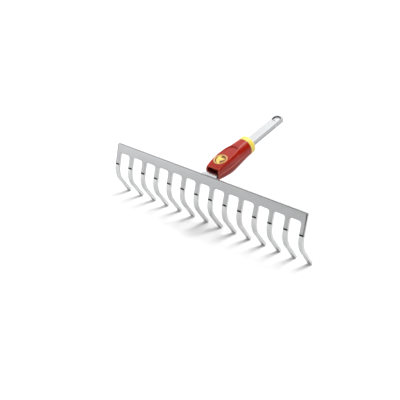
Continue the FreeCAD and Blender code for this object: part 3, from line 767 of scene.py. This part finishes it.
def build_tang(steel):
    """Folded channel with grooved sides, rounded rear corners and the latch hole."""
    stations = [(TANG_START + k * 10.0, GROOVE_DEPTH) for k in range(14)]
    stations += [(GROOVE_END - GROOVE_RUNOUT, GROOVE_DEPTH), (GROOVE_END, 0.0),
                 (GROOVE_END + 8.0, 0.0), (TANG_END, 0.0)]
    form = bmesh.new()
    rings = [[form.verts.new((x, y, z)) for x, z in tang_section(groove)]
             for y, groove in stations]
    for near, far in zip(rings, rings[1:]):
        join_rings(form, near, far)
    form.faces.new(rings[0])
    form.faces.new(rings[-1])
    bmesh.ops.recalc_face_normals(form, faces=form.faces)
    half = TANG_WIDTH / 2
    side = half + 0.01
    clear = half + 5
    rear = TANG_END + 0.01
    turn = TANG_CORNER_START
    plan = rounded_outline([(-clear, 0.0, 0), (clear, 0.0, 0), (clear, turn, 0), (side, turn, 0),
                            (side, rear, TANG_CORNER), (-side, rear, TANG_CORNER),
                            (-side, turn, 0), (-clear, turn, 0)], 8)
    keep = plate(plan, 40.0, 0.0001, 1)
    bmesh.ops.translate(keep, verts=keep.verts, vec=(0.0, 0.0, 5.0))
    hole = cylinder(LATCH_RADIUS, 0.0, 60.0, LATCH_Y, LATCH_STEPS)
    flare = cylinder(LATCH_RADIUS + FLARE_WIDTH, TANG_TOP - FLARE_SINK, TANG_TOP + 1.0, LATCH_Y,
                     LATCH_STEPS)
    form = cut_mesh(form, [("INTERSECT", cutter_from(keep)), ("DIFFERENCE", cutter_from(hole)),
                       ("DIFFERENCE", cutter_from(flare))])
    darken_hole(form)
    finish_piece("tang_bar", form, steel, ["tang_channel"], scale_mm(),
                 SHEET_CREASE)


# ---------------------------------------------------------------- housing


# distance behind the front edge, half width, top, bottom, shoulder (across, down),
# belly radius, softness of the shoulder and of the crest
HOUSING_SECTIONS = [
    (0.0, 14.8, 11.2, -9.5, 2.2, 4.0, 4.0, 2.6, 0.9),
    (17.0, 16.2, 13.3, -13.5, 2.2, 5.0, 6.0, 3.2, 1.0),
    (32.0, 17.2, 14.5, -16.0, 2.8, 6.0, 8.0, 3.8, 1.0),
    (47.0, 16.8, 15.1, -16.0, 3.4, 7.0, 9.0, 4.4, 1.1),
    (60.0, 16.2, 15.4, -15.7, 4.2, 8.0, 10.3, 4.8, 1.3),
    (66.0, 16.0, 15.6, -15.6, 5.0, 8.2, 11.0, 5.0, 3.6),
    (74.0, 15.8, 15.6, -15.5, 6.4, 8.6, 12.0, 5.6, 5.0),
    (86.0, 15.5, 15.5, -15.4, 7.6, 8.8, 12.8, 6.0, 6.2),
]
ARCH_CREST = 64.4
ARCH_DROP = 5.2
ARCH_REACH = 16.0
PANEL_STEP = 1.9
PANEL_FADE = 44.0
PANEL_EDGE = 1.2
PANEL_RAMP = 0.9
LIP_BACK = 2.8
LIP_LEVEL = 5.0
LIP_RISE = 4.0
LIP_FADE = 12.0
FRONT_ROUND = 1.5
INNER_ROUND = 1.0
WALL = 3.2
WEB_PLACE = 11.0
WEB_THICK = 2.4
WEB_HALF = 13.9


def smooth_value(y, column):
    """Catmull-Rom value of one section dimension at a distance behind the front."""
    rows = HOUSING_SECTIONS
    k = 0
    while k < len(rows) - 2 and y > rows[k + 1][0]:
        k += 1
    before, here = rows[max(k - 1, 0)], rows[k]
    after, beyond = rows[k + 1], rows[min(k + 2, len(rows) - 1)]
    span = after[0] - here[0]
    t = (y - here[0]) / span
    slope_here = (after[column] - before[column]) / max(after[0] - before[0], 1e-6) * span
    slope_after = (beyond[column] - here[column]) / max(beyond[0] - here[0], 1e-6) * span
    return ((2 * t**3 - 3 * t**2 + 1) * here[column] + (t**3 - 2 * t**2 + t) * slope_here
            + (-2 * t**3 + 3 * t**2) * after[column] + (t**3 - t**2) * slope_after)


def ease(share):
    """Smooth run from nought to one."""
    return share * share * (3 - 2 * share)


def between(start, end, steps):
    return [start.lerp(end, k / steps) for k in range(steps)]


def half_ring(y, upper):
    """Points of one half section from the right parting line round to the left one."""
    half, top, bottom, across, down, belly, soft, crest_soft = (
        smooth_value(y, column) for column in range(1, 9))
    if upper:
        side = Vector((half, 0.0))
        shoulder = Vector((half, top - down))
        crest = Vector((half - across, top))
        middle = Vector((0.0, top))
        bevel = (crest - shoulder).length
        soft = min(soft, bevel * 0.52)
        crest_soft = min(crest_soft, bevel * 0.46)
        flank = min(1.8 * soft, 0.8 * (top - down))
        side_end = shoulder + (side - shoulder).normalized() * flank
        bevel_start = shoulder + (crest - shoulder).normalized() * soft
        bevel_end = crest + (shoulder - crest).normalized() * crest_soft
        flat_start = crest + (middle - crest).normalized() * crest_soft
        points = between(side, side_end, 6)
        points += quadratic(side_end, shoulder, bevel_start, 8)
        points += between(bevel_start, bevel_end, 3)
        points += quadratic(bevel_end, crest, flat_start, 8)
        points += between(flat_start, middle, 30)
    else:
        middle = Vector((0.0, bottom))
        radius = min(belly, half - 0.2, -bottom - 0.2)
        centre = Vector((half - radius, bottom + radius))
        points = between(Vector((half, 0.0)), Vector((half, bottom + radius)), 6)
        for k in range(14):
            angle = -math.pi / 2 * k / 14
            points.append(centre + Vector((math.cos(angle), math.sin(angle))) * radius)
        points += between(Vector((half - radius, bottom)), middle, 8)
    mirrored = [Vector((-point.x, point.y)) for point in reversed(points)]
    return points + [middle] + mirrored


def quadratic(start, control, end, steps):
    found = []
    for k in range(steps):
        t = k / steps
        found.append(start * (1 - t) ** 2 + control * (2 * t * (1 - t)) + end * t**2)
    return found


def arch_row(y, x, flat):
    """Rows near the arch follow its curve and fade back to straight away from it."""
    near = ease(max(0.0, 1.0 - abs(y - ARCH_CREST) / ARCH_REACH))
    return y - ARCH_DROP * near * min(1.25, abs(x) / flat) ** 2


def panel_depth(y, x, flat):
    """Depth of the sunk panel in front of the arched step."""
    if y > ARCH_CREST or abs(x) > flat:
        return 0.0
    depth = PANEL_STEP * max(0.0, 1.0 - (ARCH_CREST - y) / PANEL_FADE)
    edge = min(1.0, (flat - abs(x)) / PANEL_EDGE)
    step = min(1.0, (ARCH_CREST - y) / PANEL_RAMP)
    return depth * ease(edge) * ease(step)


def housing_rows():
    """Distances behind the front edge, closest together at the front and the arched step."""
    rows = [0.0, 0.1, 0.35, 0.8, 1.5, 1.9]
    y = 3.0
    while y < ARCH_CREST - 6:
        rows.append(y)
        y += 2.0
    rows += [ARCH_CREST - 6 + 0.75 * k for k in range(6)]
    rows += [ARCH_CREST - 1.2 + 0.2 * k for k in range(8)]
    y = ARCH_CREST + 1.5
    while y < HOUSING_LENGTH - 0.5:
        rows.append(y)
        y += 1.6
    return rows + [HOUSING_LENGTH - 0.3, HOUSING_LENGTH]


def outer_ring(row, upper):
    """Skin points at one row, with the rounded front, the lip, the arch and the panel."""
    flat = smooth_value(row, 1) - smooth_value(row, 4)
    inset = FRONT_ROUND - min(row, FRONT_ROUND)
    tuck = FRONT_ROUND - math.sqrt(FRONT_ROUND**2 - inset**2)
    ring = []
    for x, z in half_ring(row, upper):
        y = row
        pull = 1.0 - tuck / max(1.0, math.hypot(x, z))
        if upper:
            y = arch_row(row, x, flat)
            if z > smooth_value(row, 2) - 1e-4:
                z -= panel_depth(row, x, flat)
            lip = max(0.0, min(1.0, (z - LIP_LEVEL) / LIP_RISE))
            y += LIP_BACK * lip * max(0.0, 1.0 - row / LIP_FADE)
        ring.append(Vector((x * pull, y, z * pull)))
    return ring


def inner_ring(row, upper, skin):
    """Cavity points that face the skin points of the same row."""
    half, top, bottom = (smooth_value(row, column) for column in (1, 2, 3))
    high = top if upper else -bottom
    inset = INNER_ROUND - min(row, INNER_ROUND)
    flare = INNER_ROUND - math.sqrt(INNER_ROUND**2 - inset**2)
    wide = (half - WALL + flare) / half
    tall = (high - WALL + flare) / high
    rear = HOUSING_LENGTH - WALL
    return [Vector((x * wide, min(at.y, rear), z * tall))
            for (x, z), at in zip(half_ring(row, upper), skin)]


def round_ring(ring, radius, y):
    """The same points moved onto a circle, for the spigot."""
    return [Vector((point.x, 0.0, point.z)).normalized() * radius + Vector((0.0, y, 0.0))
            for point in ring]


def shell_half(upper):
    """One half of the grip: skin, cavity, flat parting faces and half of the spigot."""
    skins = [outer_ring(row, upper) for row in housing_rows()]
    hollows = [inner_ring(row, upper, skin) for row, skin in zip(housing_rows(), skins)]
    end = HOUSING_LENGTH + SPIGOT_LENGTH
    bore = SPIGOT_RADIUS - WALL
    skins += [round_ring(skins[-1], SPIGOT_RADIUS, HOUSING_LENGTH),
              round_ring(skins[-1], SPIGOT_RADIUS, end)]
    hollows += [round_ring(hollows[-1], bore, HOUSING_LENGTH - WALL),
                round_ring(hollows[-1], bore, end)]
    form = bmesh.new()
    outside = [[form.verts.new(point) for point in ring] for ring in skins]
    inside = [[form.verts.new(point) for point in ring] for ring in hollows]
    last = len(outside[0]) - 1
    for k in range(last):
        for grid in (outside, inside):
            for near, far in zip(grid, grid[1:]):
                form.faces.new((near[k], near[k + 1], far[k + 1], far[k]))
        for row in (0, -1):
            form.faces.new((outside[row][k], outside[row][k + 1],
                          inside[row][k + 1], inside[row][k]))
    for row in range(len(outside) - 1):
        for k in (0, last):
            form.faces.new((outside[row][k], outside[row + 1][k],
                          inside[row + 1][k], inside[row][k]))
    bmesh.ops.remove_doubles(form, verts=form.verts, dist=1e-4)
    bmesh.ops.recalc_face_normals(form, faces=form.faces)
    return form


def badge_matrix():
    """Place of the badge on the grip's top, in housing axes."""
    centre = Matrix.Translation((0.0, BADGE_CENTRE, BADGE_LEVEL))
    return centre @ Matrix.Rotation(BADGE_TILT, 4, "X")


def build_housing(red):
    """Two shells of the grip: badge seat and web above, screw bosses and bores below."""
    local = Matrix.Translation((0.0, HOUSING_START, SPLIT))
    seat = cutter_from(cylinder(BADGE_RADIUS + FIT_GAP, -BADGE_SINK, 12.0, steps=96),
                       badge_matrix())
    web = cutter_from(box_mesh((-WEB_HALF, WEB_PLACE, 3.0),
                               (WEB_HALF, WEB_PLACE + WEB_THICK, 10.9)))
    upper = cut_mesh(shell_half(True), [("UNION", web), ("DIFFERENCE", seat)])
    finish_piece("grip_upper_shell", upper, red, ["housing_upper"],
                 scale_mm(local), SHELL_CREASE)
    cuts = [("UNION", cutter_from(cylinder(BOSS_RADIUS, -14.2, -3.0, y))) for y in SCREW_PLACES]
    for y in SCREW_PLACES:
        cuts.append(("DIFFERENCE", cutter_from(cylinder(SCREW_RECESS, -40.0, -10.0, y))))
        cuts.append(("DIFFERENCE", cutter_from(cylinder(SCREW_PILOT, -12.0, 10.0, y, 32))))
    lower = cut_mesh(shell_half(False), cuts)
    finish_piece("grip_lower_shell", lower, red, ["housing_lower"],
                 scale_mm(local), SHELL_CREASE)


def build_collar(yellow):
    """Ring behind the grip, closed at its rear except for the tang's window."""
    outer = COLLAR_RADIUS
    inner = SPIGOT_RADIUS + FIT_GAP
    length = COLLAR_LENGTH
    web = SPIGOT_LENGTH + FIT_GAP
    profile = [
        (inner, 0.0), (outer - 0.9, 0.0), (outer - 0.3, 0.25), (outer - 0.05, 0.9),
        (outer, 2.0), (outer, length - 2.4), (outer - 0.12, length - 1.3),
        (outer - 0.5, length - 0.5), (outer - 1.2, length - 0.08), (outer - 2.0, length),
        (0.01, length), (0.01, web), (inner, web),
    ]
    half = TANG_WIDTH / 2 + WINDOW_GAP
    top = TANG_TOP - SPLIT + WINDOW_GAP
    window = cutter_from(box_mesh((-half, -5.0, top - TANG_HEIGHT - 2 * WINDOW_GAP),
                                  (half, 30.0, top)))
    form = cut_mesh(lathe(profile, 120), [("DIFFERENCE", window)])
    place = Matrix.Translation((0.0, HOUSING_START + HOUSING_LENGTH, SPLIT))
    finish_piece("rear_collar", form, yellow, ["collar_ring"],
                 scale_mm(place), SHELL_CREASE)


# ---------------------------------------------------------------- badge


def lathe_up(profile):
    """Ring of revolution about local Z from (radius, z) points."""
    form = lathe(profile, 96)
    bmesh.ops.rotate(form, verts=form.verts, cent=(0, 0, 0),
                     matrix=Matrix.Rotation(math.radians(90), 3, "X"))
    return form


def leaf_mesh(length, width, rise):
    """Plain pointed leaf with a raised midrib and shallow side veins."""
    form = bmesh.new()
    along, across = 60, 30
    top = []
    for i in range(along + 1):
        t = i / along
        swell = math.sin(math.pi * t ** 0.85) ** 0.8 if 0 < t < 1 else 0.02
        half = width / 2 * swell * (1.0 + 0.06 * math.cos(t * 2 * math.pi * 9))
        row = []
        x = length * (t - 0.5)
        for j in range(across + 1):
            side = 2 * j / across - 1
            y = half * side
            vein = 0.5 + 0.5 * math.cos((x - abs(y) * 0.9) * 2 * math.pi / 2.1)
            dome = 1.0 - 0.55 * side * side
            rib = math.exp(-((y / 0.45) ** 2))
            z = rise * (0.55 * dome + 0.35 * rib + 0.10 * vein * (1 - side * side))
            row.append(form.verts.new((x, y, max(z, 0.3 * rise))))
        top.append(row)
    low = [[form.verts.new((vert.co.x, vert.co.y, -0.2)) for vert in row] for row in top]
    for i in range(along):
        for j in range(across):
            form.faces.new((top[i][j], top[i + 1][j], top[i + 1][j + 1], top[i][j + 1]))
            form.faces.new((low[i][j], low[i][j + 1], low[i + 1][j + 1], low[i + 1][j]))
    rim = ([(i, 0) for i in range(along + 1)] + [(along, j) for j in range(1, across + 1)]
           + [(i, across) for i in range(along - 1, -1, -1)]
           + [(0, j) for j in range(across - 1, 0, -1)])
    for k, (i, j) in enumerate(rim):
        next_i, next_j = rim[(k + 1) % len(rim)]
        form.faces.new((top[i][j], low[i][j], low[next_i][next_j], top[next_i][next_j]))
    return form


def sprig_mesh():
    """Three leaves that fan out of one stalk."""
    form = leaf_mesh(16.4, 7.2, 1.0)
    bmesh.ops.translate(form, verts=form.verts, vec=(0.4, 0.0, 0.0))
    cuts = []
    for side in (-1.0, 1.0):
        leaf = leaf_mesh(10.6, 5.6, 0.9)
        turn = Matrix.Rotation(side * math.radians(58), 4, "Z")
        place = Matrix.Translation((-5.6, side * 1.3, 0.0)) @ turn
        bmesh.ops.transform(leaf, matrix=place @ Matrix.Translation((5.0, 0.0, 0.0)),
                            verts=leaf.verts)
        cuts.append(("UNION", cutter_from(leaf)))
    return cut_mesh(form, cuts)


def build_badge():
    """Gold rim, dark ringed field and the sprig of leaves."""
    gold = enamel("badge_gold_lacquer", (0.86, 0.60, 0.22), (0.70, 0.44, 0.13), 0.28, 0.35)
    dark = enamel("badge_dark_enamel", (0.30, 0.085, 0.02), (0.19, 0.04, 0.012), 0.22)
    yellow = enamel("badge_yellow_enamel", (0.95, 0.77, 0.20), (0.86, 0.60, 0.10), 0.25)
    local = Matrix.Translation((0.0, HOUSING_START, SPLIT)) @ badge_matrix()
    outer, inner = BADGE_RADIUS, BADGE_INNER
    rim = lathe_up([(inner, -BADGE_SINK), (outer, -BADGE_SINK), (outer, 0.45),
                    (outer - 0.2, 0.8), (outer - 0.65, 1.0), (outer - 1.1, 1.0),
                    (inner + 0.35, 0.75), (inner + 0.08, 0.35), (inner, 0.0)])
    finish_piece("badge_rim_ring", rim, gold, ["badge_rim"], scale_mm(local))
    field = [(0.01, -BADGE_SINK), (inner, -BADGE_SINK), (inner, -0.25), (inner - 0.5, -0.2)]
    radius = inner - 0.5
    while radius > 0.8:
        field += [(radius - BADGE_RING / 2, -0.32), (radius - BADGE_RING, -0.2)]
        radius -= BADGE_RING
    field.append((0.01, -0.2))
    finish_piece("badge_field_disc", lathe_up(field), dark, ["badge_disc"],
                 scale_mm(local), ROUND_CREASE)
    spin = Matrix.Rotation(math.radians(24), 4, "Z")
    finish_piece("badge_leaf_figure", sprig_mesh(), yellow,
                 ["badge_leaf"], scale_mm(local @ spin), LEAF_CREASE)


# ---------------------------------------------------------------- CAD nodes that stay


def dress_cad_nodes():
    """The pin and the screws keep their CAD shape and get their own finish."""
    steel = zinc_steel("screw_zinc", (0.66, 0.67, 0.70), (0.50, 0.51, 0.53), rough=0.30,
                       grain=0.4, tilt=TILT)
    for name in ("tang_pin", "housing_screws"):
        node = frame["nodes"][name]
        node.data.materials.clear()
        node.data.materials.append(steel)


# ---------------------------------------------------------------- stage


FLOOR_RADIUS = 14.0
KEY_POWER = 1.72
KEY_ANGLE = math.radians(56)
KEY_DIRECTION = (-0.04, -0.34, -0.94)
CARD_PLACE = (-1.15, -1.05, 0.35)
CARD_SIZE = (0.5, 0.6)
CARD_POWER = 5.0
CARD_AIM = (0.0, 0.0, 0.05)

# Soft glows of the studio: direction, cosine where the glow begins, brightness.
GLOWS = (
    ((-0.60, 0.30, 0.74), 0.80, 0.85),  # high on the left
    ((-0.60, 0.78, 0.20), 0.75, 0.9),  # low on the left, behind
    ((0.85, -0.45, 0.30), 0.60, 0.35),  # on the right, in front
    ((0.04, 0.34, 0.94), 0.70, 0.95),  # broad, overhead
    ((-0.02, 0.43, 0.90), 0.955, 5.2),  # narrow, overhead and behind
)
GLOW_CORE = 0.98
HORIZON_LOW = 0.05
HORIZON_HIGH = 0.16
HORIZON_POWER = 0.9
STUDIO_POWER = 0.11

CAMERA_AZIMUTH = math.radians(40.10)
CAMERA_ELEVATION = math.radians(21.36)
CAMERA_ROLL = math.radians(4.325)
CAMERA_DISTANCE = 1.7235
CAMERA_LENS = 92.43
CAMERA_SHIFT = (-0.0067, -0.0073)


def build_floor():
    """Large pale disc under the tine tips."""
    form = bmesh.new()
    bmesh.ops.create_circle(form, cap_ends=True, segments=96, radius=FLOOR_RADIUS)
    mesh = bpy.data.meshes.new("floor")
    form.to_mesh(mesh)
    form.free()
    floor = bpy.data.objects.new("floor", mesh)
    bpy.context.scene.collection.objects.link(floor)
    material, tree, shader = new_material("pale_floor")
    vector = object_space(tree)
    tone = mix_colour(tree, noise(tree, vector, 3.0, 2.0), (0.86, 0.86, 0.86), (0.88, 0.88, 0.88))
    tree.links.new(tone, shader.inputs["Base Color"])
    shader.inputs["Roughness"].default_value = 0.9
    shader.inputs["Specular IOR Level"].default_value = 0.1
    mesh.materials.append(material)


def add_lamp(name, kind, power, direction):
    """Light that shines along a direction."""
    light = bpy.data.lights.new(name, kind)
    light.energy = power
    lamp = bpy.data.objects.new(name, light)
    lamp.rotation_euler = Vector(direction).to_track_quat("-Z", "Y").to_euler()
    bpy.context.scene.collection.objects.link(lamp)
    return lamp


def glow(tree, direction, start, radiance):
    """Soft bright patch of the studio round a direction."""
    coords = add_node(tree, "ShaderNodeTexCoord")
    facing = add_node(tree, "ShaderNodeVectorMath", operation="DOT_PRODUCT")
    facing.inputs[1].default_value = Vector(direction).normalized()
    tree.links.new(coords.outputs["Generated"], facing.inputs[0])
    return remap(tree, facing.outputs["Value"], start, GLOW_CORE, 0.0, radiance)


def build_studio():
    """Dim even surroundings with a brighter horizon and soft glows."""
    world = bpy.data.worlds.new("studio")
    world.use_nodes = True
    tree = world.node_tree
    tree.nodes.clear()
    output = tree.nodes.new("ShaderNodeOutputWorld")
    sky = tree.nodes.new("ShaderNodeBackground")
    sky.inputs["Color"].default_value = (1.0, 1.0, 1.0, 1.0)
    axes = add_node(tree, "ShaderNodeSeparateXYZ")
    tree.links.new(add_node(tree, "ShaderNodeTexCoord").outputs["Generated"], axes.inputs[0])
    total = remap(tree, axes.outputs["Z"], HORIZON_LOW, HORIZON_HIGH, HORIZON_POWER, 0.0)
    for direction, start, radiance in GLOWS:
        total = math_node(tree, "ADD", total, glow(tree, direction, start, radiance))
    total = math_node(tree, "ADD", total, STUDIO_POWER)
    tree.links.new(total, sky.inputs["Strength"])
    tree.links.new(sky.outputs["Background"], output.inputs["Surface"])
    bpy.context.scene.world = world


def build_lights():
    """Broad key from overhead and behind, hidden from reflections, and a card on the left."""
    key = add_lamp("key", "SUN", KEY_POWER, KEY_DIRECTION)
    key.data.angle = KEY_ANGLE
    key.visible_glossy = False
    card = add_lamp("left_card", "AREA", CARD_POWER, Vector(CARD_AIM) - Vector(CARD_PLACE))
    card.location = CARD_PLACE
    card.data.shape = "RECTANGLE"
    card.data.size, card.data.size_y = CARD_SIZE
    build_studio()


def build_camera():
    """Long lens from the front right and above, with a slight roll."""
    level = math.cos(CAMERA_ELEVATION)
    back = Vector((math.sin(CAMERA_AZIMUTH) * level, -math.cos(CAMERA_AZIMUTH) * level,
                   math.sin(CAMERA_ELEVATION)))
    right = Vector((0.0, 0.0, 1.0)).cross(back).normalized()
    up = back.cross(right)
    turned_right = right * math.cos(CAMERA_ROLL) + up * math.sin(CAMERA_ROLL)
    turned_up = up * math.cos(CAMERA_ROLL) - right * math.sin(CAMERA_ROLL)
    rows = Matrix((turned_right, turned_up, back)).transposed().to_4x4()
    data = bpy.data.cameras.new("camera")
    data.lens = CAMERA_LENS
    data.sensor_width = 36.0
    data.shift_x, data.shift_y = CAMERA_SHIFT
    data.clip_end = 50.0
    camera = bpy.data.objects.new("camera", data)
    place = TOOL.translation + back * CAMERA_DISTANCE
    camera.matrix_world = Matrix.Translation(place) @ rows
    bpy.context.scene.collection.objects.link(camera)
    bpy.context.scene.camera = camera


def set_view():
    """Plain display of the colours, with white where the floor is fully lit."""
    view = bpy.context.scene.view_settings
    view.view_transform = "Standard"
    view.look = "None"
    view.exposure = 0.0
    view.gamma = 1.0


bright = zinc_steel("bright_zinc", (0.63, 0.64, 0.65), (0.59, 0.60, 0.61), rough=0.20,
                    grain=0.035, tilt=TILT, brushed=(1.0, 0.06, 1.0), marks=("bare_and_shade",))
red = moulded_plastic("red_moulding", (0.39, 0.012, 0.002), (0.35, 0.009, 0.0015),
                      worn_highlight=(0.66, 0.14, 0.08), rough=0.18, shine=0.27)
yellow = moulded_plastic("yellow_moulding", (0.95, 0.75, 0.06), (0.90, 0.69, 0.05),
                         worn_highlight=(0.96, 0.82, 0.28), rough=0.28, shine=0.5)
build_blade()
build_neck(bright)
build_welds()
build_tang(bright)
build_housing(red)
build_collar(yellow)
build_badge()
dress_cad_nodes()
build_floor()
build_lights()
build_camera()
set_view()
